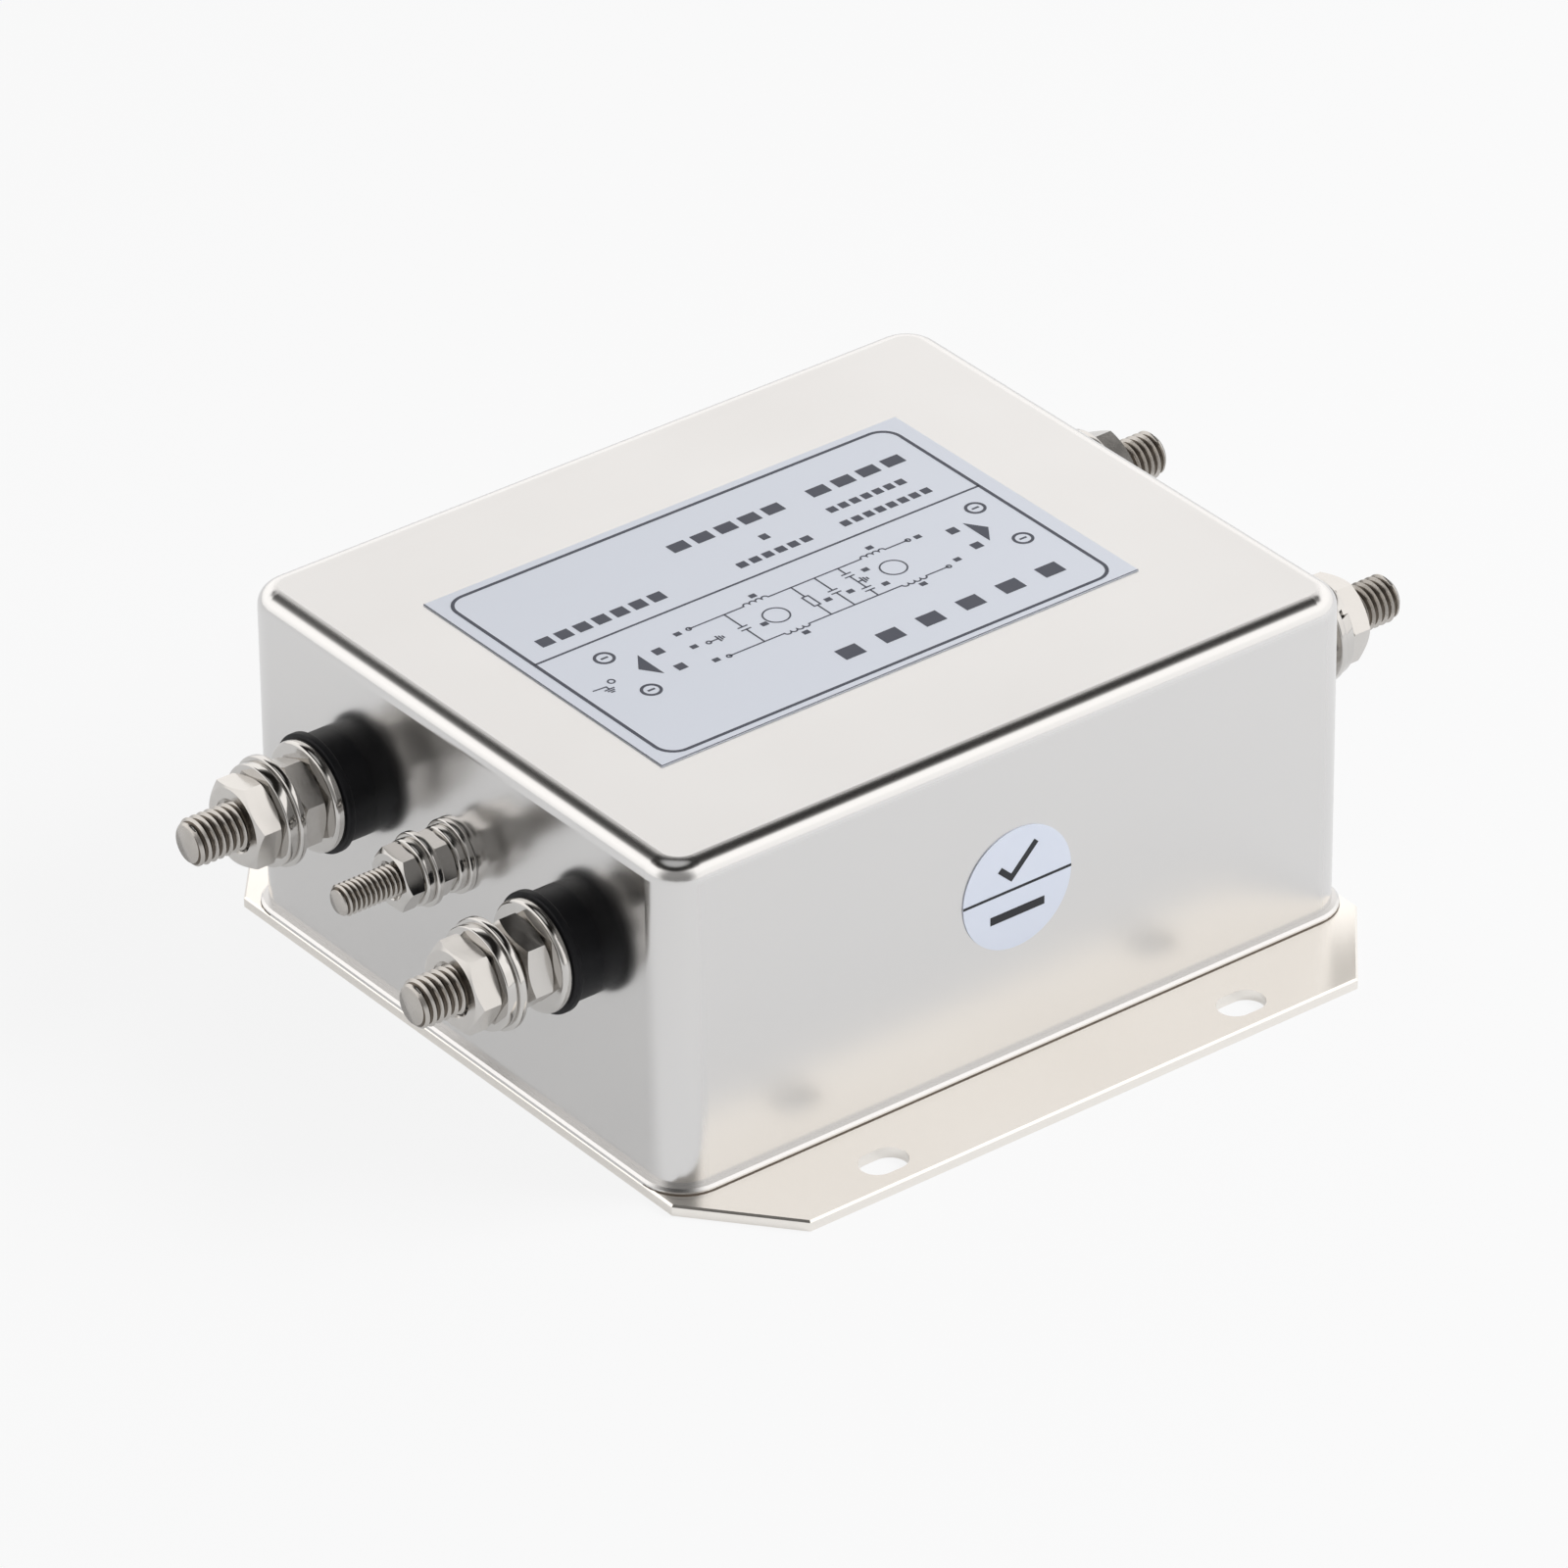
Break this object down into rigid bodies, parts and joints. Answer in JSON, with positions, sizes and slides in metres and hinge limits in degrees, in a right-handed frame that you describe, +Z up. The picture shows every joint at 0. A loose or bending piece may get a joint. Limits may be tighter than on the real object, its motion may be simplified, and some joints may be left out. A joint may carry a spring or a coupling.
{
  "type": "emi line filter",
  "caption": "Single-phase EMI line filter in a drawn metal can with slotted side flanges and insulated stud terminals at both ends.",
  "frame": {"origin": "middle of the footprint on the underside of the base plate", "axes": "+X runs along the can towards the output terminals, +Y across the can away from the sticker side, +Z up from the base plate to the labelled face"},
  "size_m": [0.145, 0.109, 0.0452],
  "materials": {
    "nickel_can": "satin nickel plate on drawn steel",
    "nickel_plate": "satin nickel plate on flat steel",
    "bright_nickel": "bright nickel plate on steel fasteners",
    "black_plastic": "black moulded nylon, slight sheen",
    "label_film": "silver-blue printed film",
    "sticker_paper": "off-white paper",
    "insulation_film": "translucent insulating film",
    "spacer_plastic": "natural nylon",
    "board_laminate": "glass-epoxy laminate",
    "tinned_brass": "tinned brass strip",
    "core_coating": "epoxy-coated magnetic core",
    "copper_wire": "enamelled copper wire",
    "capacitor_case": "moulded film-capacitor case",
    "disc_case": "moulded safety-capacitor case",
    "resistor_body": "lacquered resistor body"
  },
  "bodies": {
    "root": {"base_plate": "nickel_plate", "can_cover": "nickel_can", "name_label": "label_film", "inspection_sticker": "sticker_paper", "terminal_bushes": "black_plastic", "inner_bushes": "black_plastic", "line_studs": "bright_nickel", "seat_washers": "bright_nickel", "clamp_nuts": "bright_nickel", "terminal_washers": "bright_nickel", "terminal_spring_washers": "bright_nickel", "terminal_nuts": "bright_nickel", "earth_stud": "bright_nickel", "earth_washers": "bright_nickel", "earth_spring_washers": "bright_nickel", "earth_nuts": "bright_nickel", "insulating_sheet": "insulation_film", "board_spacers": "spacer_plastic", "circuit_board": "board_laminate", "terminal_straps": "tinned_brass", "earth_strap": "tinned_brass", "choke_core_1": "core_coating", "choke_core_2": "core_coating", "choke_1_winding_a": "copper_wire", "choke_1_winding_b": "copper_wire", "choke_2_winding_a": "copper_wire", "choke_2_winding_b": "copper_wire", "winding_separators": "spacer_plastic", "x_capacitors": "capacitor_case", "y_capacitors": "disc_case", "discharge_resistor": "resistor_body"}
  },
  "joints": []
}
